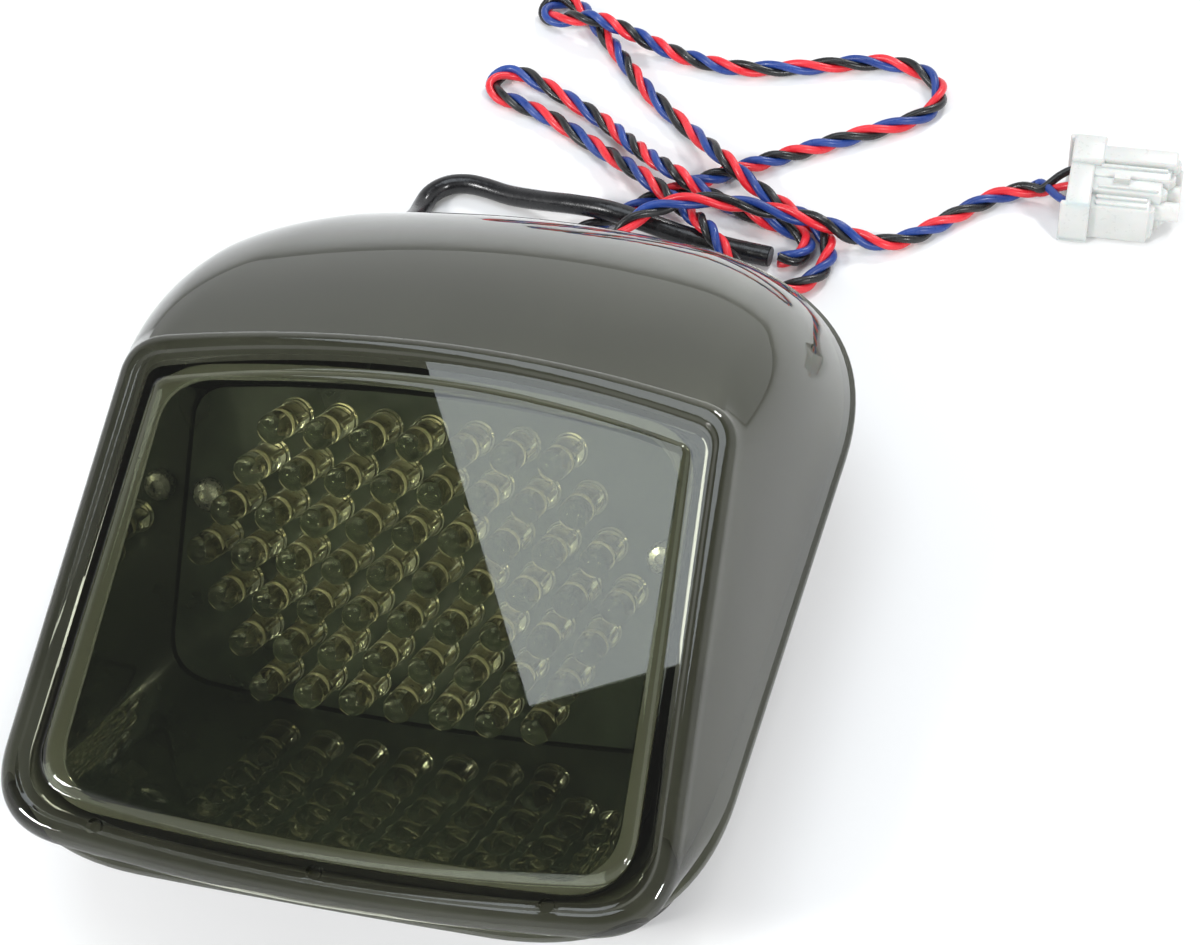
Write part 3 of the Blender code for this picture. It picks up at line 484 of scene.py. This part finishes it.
def smooth_path(route, step):
    """Even points on the smooth curve through the route's points."""
    knots = [Vector(point) for point in route]
    knots = [knots[0] * 2 - knots[1]] + knots + [knots[-1] * 2 - knots[-2]]
    fine = []
    for a, b, c, d in zip(knots, knots[1:], knots[2:], knots[3:]):
        for part in range(24):
            t = part / 24
            fine.append(0.5 * (b * 2 + (c - a) * t + (a * 2 - b * 5 + c * 4 - d) * t ** 2
                               + (b * 3 - a - c * 3 + d) * t ** 3))
    fine.append(knots[-2])
    travelled = [0.0]
    for before, here in zip(fine, fine[1:]):
        travelled.append(travelled[-1] + (here - before).length)
    count = round(travelled[-1] / step) + 1
    points = []
    index = 0
    for number in range(count):
        goal = travelled[-1] * number / (count - 1)
        while index < len(fine) - 2 and travelled[index + 1] < goal:
            index += 1
        part = (goal - travelled[index]) / (travelled[index + 1] - travelled[index])
        points.append(fine[index].lerp(fine[index + 1], part))
    return points


def side_axes(points):
    """Two axes across the line at each point, carried along it without twisting."""
    last = len(points) - 1
    ahead = [(points[min(i + 1, last)] - points[max(i - 1, 0)]).normalized() for i in range(last + 1)]
    first = ahead[0].cross(Vector((0, 0, 1)))
    axes = []
    for direction in ahead:
        first = (first - direction * first.dot(direction)).normalized()
        axes.append((first.copy(), direction.cross(first)))
    return axes


def hose(work, points, radii, sides=16, mat_index=0):
    """A closed tube along the points, with a radius for each, added to a mesh."""
    rows = []
    for point, radius, (across, over) in zip(points, radii, side_axes(points)):
        row = []
        for side in range(sides):
            angle = math.tau * side / sides
            outwards = across * math.cos(angle) + over * math.sin(angle)
            row.append(work.verts.new((point + outwards * radius) * MM))
        rows.append(row)
    faces = [work.faces.new(rows[0]), work.faces.new(rows[-1])]
    for low, high in zip(rows, rows[1:]):
        for side in range(sides):
            after = (side + 1) % sides
            faces.append(work.faces.new((low[side], low[after], high[after], high[side])))
    for face in faces:
        face.material_index = mat_index


def build_sleeve():
    points = smooth_path(SLEEVE_ROUTE, STEP)
    radii = []
    for number in range(len(points)):
        along = number * STEP
        ripple = 0.02 * math.sin(along / 2.1) * math.sin(along / 7.7 + 1.0)
        radii.append(SLEEVE_DIAMETER / 2 + ripple - 0.03)
    direction = (points[-1] - points[-2]).normalized()
    end = points[-1]
    bore = CORD_DIAMETER / 2 + 0.05
    lip = [end + direction * 0.15, end - direction * 0.1, end - direction * 2.6]
    work = bmesh.new()
    hose(work, points + lip, radii + [bore + 0.14, bore, bore], 24)
    body = finish_mesh("cable_sleeve_skin", work, [SLEEVE_BLACK])
    piece(body, "sleeve", "cable_sleeve")


def strand_paths(points):
    """Centre lines of the three strands, twisted round the bundle's own line at a slightly uneven lay."""
    phase = 0.4
    lines = {color: [] for color in WIRES}
    for number, (point, (across, over)) in enumerate(zip(points, side_axes(points))):
        along = number * STEP
        uneven = 1.0 + 0.16 * math.sin(along / 23.0) + 0.10 * math.sin(along / 9.1 + 2.0)
        phase += math.tau * STEP / TWIST_LAY * uneven
        for order, color in enumerate(WIRES):
            angle = phase + math.tau * order / 3
            lines[color].append(point + (across * math.cos(angle) + over * math.sin(angle)) * STRAND_ORBIT)
    return lines


# Connector: the place of each wire's way, counted from the middle one, and the sizes of the plug.
WAYS = {"black": 1, "red": 0, "blue": -1}
WAY_PITCH = 4.6
WAY_Z = 5.6
PLUG_LEFT = 90.5
PLUG_RIGHT = 110.5
PLUG_FRONT = 110.6
PLUG_BACK = 126.8
PLUG_BOTTOM = 0.3
# The strips of the body: front, back, top, and where the end stops against the plug's right.
PLUG_STRIPS = (
    (0.0, 4.1, 8.8, -4.6), (3.9, 7.9, 9.7, -2.7), (7.7, 11.7, 10.1, -1.4), (11.5, 16.2, 10.1, -0.6),
)
WAY_MIDDLE_Y = (PLUG_FRONT + PLUG_BACK) / 2 + 0.6


def build_cord(connector):
    points = smooth_path(CORD_ROUTE, STEP)
    lines = strand_paths(points)
    work = bmesh.new()
    for order, color in enumerate(WIRES):
        hose(work, lines[color], [STRAND_RADIUS] * len(points), 12, order)
    body = finish_mesh("twisted_wires", work, list(WIRES.values()))
    piece(body, "twisted_wires", "twisted_cord")
    on_it = list(connector)
    for color, place in WAYS.items():
        way_y = WAY_MIDDLE_Y + place * WAY_PITCH
        start = lines[color][-1]
        direction = (lines[color][-1] - lines[color][-3]).normalized()
        tail = smooth_path([
            start, start + direction * 0.7 + Vector((0.8, 0.0, 0.0)),
            (88.0, (start.y + way_y * 2) / 3, (start.z + WAY_Z * 2) / 3),
            (PLUG_LEFT, way_y, WAY_Z), (PLUG_LEFT + 3.0, way_y, WAY_Z),
        ], 0.4)
        work = bmesh.new()
        hose(work, tail, [STRAND_RADIUS] * len(tail), 16)
        wire = finish_mesh(f"wire_end_{color}", work, [WIRES[color]])
        piece(wire, f"wire_{color}", f"wire_{color}")
        on_it += [wire, CAD[f"terminal_{color}"]]


def build_connector_body():
    """Nylon body: strips of rising height with scalloped ends, ribs, a latch slot and three barrels."""
    work = bmesh.new()
    for front, back, top, reach in PLUG_STRIPS:
        end = PLUG_RIGHT + reach
        box(work, (PLUG_LEFT + 1.2, PLUG_FRONT + front, 0.5), (end, PLUG_FRONT + back, top), bevel=0.4)
        bump = at(end - 0.5, PLUG_FRONT + (front + back) / 2, 0.0)
        lathe(work, [
            (0.0, 1.0), (1.3, 1.0), (1.5, 1.2), (1.5, top - 1.0), (1.3, top - 0.8), (0.0, top - 0.8),
        ], bump, 28)
    box(work, (PLUG_LEFT + 5.0, PLUG_BACK - 5.2, 9.6), (PLUG_RIGHT - 0.4, PLUG_BACK - 1.0, 11.3), bevel=0.5)
    for number in range(2):
        y = PLUG_FRONT + 0.8 + number * 1.7
        box(work, (PLUG_LEFT + 5.0, y, 8.4), (PLUG_RIGHT - 5.2, y + 0.8, 9.3), bevel=0.2)
    box(work, (PLUG_LEFT + 5.2, PLUG_FRONT + 4.6, 9.3), (PLUG_RIGHT - 3.4, PLUG_FRONT + 5.3, 10.2), bevel=0.2)
    box(work, (PLUG_LEFT + 5.2, PLUG_FRONT + 9.9, 9.7), (PLUG_RIGHT - 2.0, PLUG_FRONT + 10.6, 10.6),
        bevel=0.2)
    for place in WAYS.values():
        barrel = at(PLUG_RIGHT - 1.6, WAY_MIDDLE_Y + place * WAY_PITCH, WAY_Z)
        barrel = barrel @ Matrix.Rotation(math.pi / 2, 4, "Y")
        lathe(work, [(0.0, -7.0), (1.9, -7.0), (1.9, 2.2), (1.7, 2.5), (1.2, 2.5), (1.2, 1.2), (0.0, 1.2)],
              barrel, 28)
    body = finish_mesh("connector_body", work, [NYLON])
    slot = bmesh.new()
    box(slot, (PLUG_LEFT + 8.0, PLUG_FRONT + 6.2, 8.2), (PLUG_LEFT + 11.0, PLUG_FRONT + 7.4, 11.0))
    cut(body, finish_mesh("latch_slot_cutter", slot, []), "DIFFERENCE")
    smooth(body, 30.0)
    return piece(body, "nylon", "connector_housing")


def build_connector_frame():
    """Lock that wraps the wire end of the body, open towards the wires."""
    work = bmesh.new()
    left = PLUG_LEFT - 1.4
    right = PLUG_LEFT + 4.2
    front = PLUG_FRONT - 1.5
    back = PLUG_BACK + 1.5
    box(work, (left - 0.1, front, PLUG_BOTTOM + 0.05), (right, back, 1.5), bevel=0.35)
    box(work, (left, front, 0.5), (right, front + 1.2, 10.4), bevel=0.45)
    box(work, (left, back - 1.2, 0.5), (right, back, 11.2), bevel=0.45)
    box(work, (left + 0.9, front + 0.1, 9.0), (right, PLUG_BACK - 5.0, 10.5), bevel=0.5)
    box(work, (left + 0.9, PLUG_BACK - 6.0, 9.4), (right + 1.6, back - 0.1, 11.5), bevel=0.6)
    body = finish_mesh("connector_frame", work, [NYLON])
    return piece(body, "nylon", "connector_lock")


build_sleeve()
build_cord([build_connector_body(), build_connector_frame()])

# ---- Lens --------------------------------------------------------------------------------------------------

LIP_HOLE_RADIUS = 1.15
LIP_HOLE_DEPTH = 4.0
LIP_HOLES = ((-34.9, -38.9), (0.0, -40.0), (34.9, -38.9))

# The front from its edge inwards, as (drawn in, out): the rounded crease, a shallow band, the raised window.
FRONT_STEPS = (
    (-1.15, -1.4), (-0.9, -0.95), (-0.5, -0.5), (-0.05, -0.18), (0.45, -0.02), (0.9, 0.0), (1.5, 0.0),
    (1.65, -0.05), (1.95, -0.35), (2.1, -0.4), (2.6, -0.4), (4.9, -0.4), (5.3, -0.4), (5.45, -0.33),
    (5.8, 0.0), (5.95, 0.08), (6.4, 0.22), (6.7, 0.3), (7.2, 0.3),
)


def lens_wall_rings():
    """Outer wall from the top of the skirt to just under the front edge, fuller towards the tall end."""
    low = level_ring(inset(RIM, 0.7), RIM_HEIGHT + SKIRT_HEIGHT + 0.3)
    high = front_ring(inset(FRONT, -1.3), -1.9)
    rings = []
    for step in range(WALL_STEPS + 1):
        part = step / WALL_STEPS
        ring = []
        for start, end in zip(low, high):
            towards_end = min(max((start.y - FULL_FROM_Y) / (FULL_TO_Y - FULL_FROM_Y), 0.0), 1.0)
            fullness = SIDE_FULLNESS + (END_FULLNESS - SIDE_FULLNESS) * towards_end
            corner = Vector((start.x, start.y, end.z))
            control = ((start + end) / 2).lerp(corner, fullness)
            ring.append(start * (1 - part) ** 2 + control * (2 * part * (1 - part)) + end * part ** 2)
        rings.append(ring)
    return rings


def build_lens():
    inner_low = level_ring(inset(RIM, 6.0), RIM_HEIGHT)
    inner_high = front_ring(inset(FRONT, 3.0), -PANE_THICKNESS)
    rings = [front_ring(inset(FRONT, 4.2), -PANE_THICKNESS), front_ring(inset(FRONT, 3.4), -PANE_THICKNESS)]
    rings += [[high.lerp(low, part) for high, low in zip(inner_high, inner_low)]
              for part in (0.02, 0.3, 0.65, 1.0)]
    rings += [level_ring(inset(RIM, 0.2), RIM_HEIGHT), level_ring(RIM, RIM_HEIGHT + 0.2)]
    rings += [level_ring(RIM, RIM_HEIGHT + SKIRT_HEIGHT - 0.3),
              level_ring(inset(RIM, 0.15), RIM_HEIGHT + SKIRT_HEIGHT)]
    rings += lens_wall_rings()
    rings += [front_ring(inset(FRONT, drawn_in), out) for drawn_in, out in FRONT_STEPS]
    # Painted shade: the lens's inner walls and the underside of its rim take the dark olive sheet.
    body = loft("lens_shell", rings, [SMOKED, OLIVE_PAINTED_SHADE], shade_stretches=(2, 3, 4, 5))
    for x, up in LIP_HOLES:
        work = bmesh.new()
        place = Matrix.Translation(tilted(FRONT_ORIGIN, FRONT_TILT, x, up, -LIP_HOLE_DEPTH / 2) * MM)
        lathe(work, [
            (0.0, 0.0), (LIP_HOLE_RADIUS, 0.0), (LIP_HOLE_RADIUS, LIP_HOLE_DEPTH), (0.0, LIP_HOLE_DEPTH),
        ], place @ Matrix.Rotation(FRONT_TILT, 4, "X"))
        cut(body, finish_mesh("lip_hole_cutter", work, []), "DIFFERENCE")
    smooth(body, 32.0)
    piece(body, "lens", "lens")


build_lens()

# ---- Light box ---------------------------------------------------------------------------------------------

# Painted shade: the box's flange stretches take the dark olive sheet.
piece(loft("light_box_skin", [
    front_ring(WINDOW, -PANE_THICKNESS - 0.6),
    board_ring(BOX_FLOOR, BOARD_FACE),
    board_ring(BOX_FLOOR, BOARD_BACK - 0.4),
    board_ring(inset(BOX_FLOOR, -1.6), BOARD_BACK - 0.4),
    front_ring(inset(WINDOW, -1.6), -PANE_THICKNESS - 1.7),
    front_ring(inset(WINDOW, -2.6), -PANE_THICKNESS - 1.7),
    front_ring(inset(WINDOW, -2.6), -PANE_THICKNESS - GAP),
    front_ring(inset(WINDOW, -0.3), -PANE_THICKNESS - GAP),
], [BLACK_GLOSS, OLIVE_PAINTED_SHADE], capped=False, shade_stretches=(5, 6)), "light_box", "light_box")

# ---- LEDs --------------------------------------------------------------------------------------------------

SHOULDER = LED_LENGTH - LED_RADIUS
DOME_STEPS = 8
dome_angles = [math.pi / 2 * part / DOME_STEPS for part in range(1, DOME_STEPS)]
LED_PROFILE = [
    (0.0, 0.0), (2.75, 0.0), (LED_FLANGE_RADIUS, 0.15), (LED_FLANGE_RADIUS, 0.85), (2.8, 1.0),
    (LED_RADIUS + 0.05, 1.0), (LED_RADIUS, 1.15), (LED_RADIUS, SHOULDER),
    *[(LED_RADIUS * math.cos(angle), SHOULDER + LED_RADIUS * math.sin(angle)) for angle in dome_angles],
    (0.0, LED_LENGTH),
]

# Inside each LED: the cup that holds the chip, and the blocks of its two leads as opposite corners.
LEAD_CUP = [(0.0, 4.6), (0.5, 4.6), (0.8, 4.9), (0.9, 5.7), (0.7, 5.7), (0.4, 5.2), (0.0, 5.2)]
LEAD_CUP_X = -0.35
LEAD_BLOCKS = (
    ((-1.35, -0.22, 0.2), (0.3, 0.22, 4.7)), ((0.85, -0.22, 0.2), (1.35, 0.22, 5.1)),
    ((0.75, -0.22, 4.4), (1.55, 0.22, 5.2)),
)
LEAD_BEVEL = 0.08


def build_led_row(row, count):
    up = LED_GRID_UP + (len(LED_ROW_COUNTS) // 2 - row) * LED_ROW_PITCH
    first = LED_GRID_X - (count - 1) / 2 * LED_PITCH
    lenses = bmesh.new()
    leads = bmesh.new()
    for number in range(count):
        turn = Matrix.Rotation(0.35 * math.sin(number * 2.3 + row * 1.7), 4, "Z")
        place = board_matrix(first + number * LED_PITCH, up, -LED_LENGTH) @ turn
        lathe(lenses, LED_PROFILE, place)
        lathe(leads, LEAD_CUP, place @ Matrix.Translation((LEAD_CUP_X * MM, 0.0, 0.0)), 20)
        for low, high in LEAD_BLOCKS:
            box(leads, low, high, place, LEAD_BEVEL)
    name = f"led_row_{row + 1}"
    piece(finish_mesh(f"{name}_lenses", lenses, [EPOXY], 40.0), "led", name)
    piece(finish_mesh(f"{name}_lead_frames", leads, [DARK_FRAME], 40.0), "contact")


for row, count in enumerate(LED_ROW_COUNTS):
    build_led_row(row, count)

# ---- Rear housing ------------------------------------------------------------------------------------------

INSERT_BOSS_RADIUS = 6.5
INSERT_BOSS_HEIGHT = 9.0
EXIT_BOSS_RADIUS = 7.2
EXIT_HOLE_RADIUS = 4.4
EXIT_HOLE_LENGTH = 34.0
SCREW_HOLE_RADIUS = 1.8
SCREW_HOLE_LENGTH = 14.0


def tool_rod(radius, length, place, sides=48):
    work = bmesh.new()
    half = length / 2
    lathe(work, [(0.0, -half), (radius, -half), (radius, half), (0.0, half)], place, sides)
    return finish_mesh("tool", work, [BLACK_MATT])


def board_post(side):
    """Upright post with its top cut to the slant of the board."""
    x = side * BOARD_SCREW_X
    middle = tilted(BOARD_ORIGIN, BOARD_TILT, x, BOARD_SCREW_UP, BOARD_BACK - GAP)
    work = bmesh.new()
    for corner in bmesh.ops.create_cube(work, size=1.0)["verts"]:
        rise = corner.co.y * POST_LENGTH * math.tan(BOARD_TILT)
        z = middle.z + rise if corner.co.z > 0 else FLOOR_THICKNESS - 1.0
        corner.co = Vector((x + corner.co.x * POST_WIDTH, middle.y + corner.co.y * POST_LENGTH, z)) * MM
    return finish_mesh("tool", work, [BLACK_MATT])


def build_housing():
    body = loft("rear_housing_shell", [
        level_ring(inset(HOUSING_LOW, 2.4), FLOOR_THICKNESS),
        level_ring(inset(HOUSING_TOP, 2.2), FLANGE_TOP - 2.0),
        level_ring(inset(HOUSING_TOP, 2.2), FLANGE_TOP),
        level_ring(inset(RIM, 3.7), FLANGE_TOP),
        level_ring(inset(RIM, 3.6), FLANGE_TOP - 0.3),
        level_ring(inset(RIM, 4.5), FLANGE_BOTTOM + 0.3),
        level_ring(inset(RIM, 4.8), FLANGE_BOTTOM),
        level_ring(HOUSING_TOP, FLANGE_BOTTOM),
        level_ring(HOUSING_LOW, 3.4),
        level_ring(inset(HOUSING_LOW, 0.5), 1.7),
        level_ring(inset(HOUSING_LOW, 1.4), 0.5),
        level_ring(inset(HOUSING_LOW, 2.6), 0.0),
        level_ring(inset(HOUSING_LOW, 3.2), 0.0),
    ], [BLACK_MATT])
    for side in (-1, 1):
        cut(body, board_post(side), "UNION")
        boss_place = at(side * INSERT_X, INSERT_Y, 6.0)
        cut(body, tool_rod(INSERT_BOSS_RADIUS, INSERT_BOSS_HEIGHT, boss_place), "UNION")
    exit_boss_place = at(EXIT_X, EXIT_FACE_Y - EXIT_DEPTH / 2, EXIT_Z, 90)
    cut(body, tool_rod(EXIT_BOSS_RADIUS, EXIT_DEPTH, exit_boss_place), "UNION")
    hole_depth = INSERT_DEPTH + 1.0
    for side in (-1, 1):
        hole_place = at(side * INSERT_X, INSERT_Y, hole_depth / 2 - 0.5)
        cut(body, tool_rod(INSERT_RADIUS + 0.1, hole_depth, hole_place), "DIFFERENCE")
        screw_place = board_matrix(side * BOARD_SCREW_X, BOARD_SCREW_UP, BOARD_BACK - 5.5)
        cut(body, tool_rod(SCREW_HOLE_RADIUS, SCREW_HOLE_LENGTH, screw_place, 24), "DIFFERENCE")
    exit_hole_place = at(EXIT_X, EXIT_FACE_Y - 12.0, EXIT_Z, 90)
    cut(body, tool_rod(EXIT_HOLE_RADIUS, EXIT_HOLE_LENGTH, exit_hole_place), "DIFFERENCE")
    smooth(body, 30.0)
    piece(body, "housing", "rear_housing")


build_housing()

# ---- CAD nodes that keep their shape -----------------------------------------------------------------------

KEPT = {
    "lens_seal": RUBBER, "mounting_insert_left": BRASS, "mounting_insert_right": BRASS,
    "led_board": BOARD_GREEN, "board_screw_left": STEEL, "board_screw_right": STEEL,
    "resistor_1": TAN, "resistor_2": TAN, "resistor_3": TAN, "resistor_4": TAN,
    "polarity_diode": COMPONENT, "current_regulator": COMPONENT, "wire_terminal": NYLON,
    "inner_lead": SLEEVE_BLACK, "cable_grommet": RUBBER,
    "terminal_black": TIN, "terminal_red": TIN, "terminal_blue": TIN,
}
for node, mat in KEPT.items():
    for kept_slot in CAD[node].material_slots:
        kept_slot.material = mat

# ---- Floor, light and world --------------------------------------------------------------------------------

FLOOR_DROP = 0.05
SOFTBOX_COLOR = (0.86, 0.93, 1.0)
LAMP_TARGET = (0.0, -20.0, 40.0)

# The world's strength at low angles and overhead, and the steepness (z of the direction) where it changes.
SKY_LOW = 0.92
SKY_OVERHEAD = 0.12
SKY_CHANGES_FROM = 0.55
SKY_CHANGES_TO = 0.85

floor_work = bmesh.new()
bmesh.ops.create_grid(floor_work, x_segments=8, y_segments=8, size=3.0)
floor = finish_mesh("floor", floor_work, [
    surface("pale_floor", (0.86, 0.86, 0.86), (0.90, 0.90, 0.90), (0.75, 0.9), 3.0, 400.0, 0.01)])
floor.location.z = -FLOOR_DROP * MM


def softbox(name, corner, edge_turn, width, depth, height, power):
    """An overhead softbox placed by its front left corner, turned about the vertical."""
    data = bpy.data.lights.new(name, "AREA")
    data.shape = "RECTANGLE"
    data.size = width * MM
    data.size_y = depth * MM
    data.energy = power
    data.color = SOFTBOX_COLOR
    lamp = bpy.data.objects.new(name, data)
    scene.collection.objects.link(lamp)
    turn = Matrix.Rotation(math.radians(edge_turn), 4, "Z")
    middle = Vector((corner[0], corner[1], height)) + turn @ Vector((width / 2, depth / 2, 0))
    lamp.matrix_world = Matrix.Translation(middle * MM) @ turn


softbox("softbox", (-156.0, -188.0), 24.0, 450.0, 520.0, 800.0, 2.3)


def aimed_light(name, place, size, power):
    """A square lamp that faces the tail light."""
    data = bpy.data.lights.new(name, "AREA")
    data.size = size * MM
    data.energy = power
    lamp = bpy.data.objects.new(name, data)
    scene.collection.objects.link(lamp)
    away = (Vector(place) - Vector(LAMP_TARGET)).normalized()
    turn = away.to_track_quat("Z", "Y").to_matrix().to_4x4()
    lamp.matrix_world = Matrix.Translation(Vector(place) * MM) @ turn


aimed_light("key_light", (-650.0, -620.0, 760.0), 200.0, 7.0)
aimed_light("fill_light", (700.0, -500.0, 620.0), 160.0, 4.5)
aimed_light("rear_light", (260.0, 720.0, 680.0), 160.0, 3.0)

world = bpy.data.worlds.new("studio")
world.use_nodes = True
scene.world = world
tree = world.node_tree
background = tree.nodes["Background"]
direction = tree.nodes.new("ShaderNodeTexCoord")
split = tree.nodes.new("ShaderNodeSeparateXYZ")
height_ramp = tree.nodes.new("ShaderNodeMapRange")
height_ramp.inputs["From Min"].default_value = SKY_CHANGES_FROM
height_ramp.inputs["From Max"].default_value = SKY_CHANGES_TO
height_ramp.inputs["To Min"].default_value = SKY_LOW
height_ramp.inputs["To Max"].default_value = SKY_OVERHEAD
tree.links.new(direction.outputs["Generated"], split.inputs["Vector"])
tree.links.new(split.outputs["Z"], height_ramp.inputs["Value"])
tree.links.new(height_ramp.outputs["Result"], background.inputs["Strength"])
background.inputs["Color"].default_value = (0.97, 0.985, 1.0, 1.0)

scene.view_settings.view_transform = "Standard"
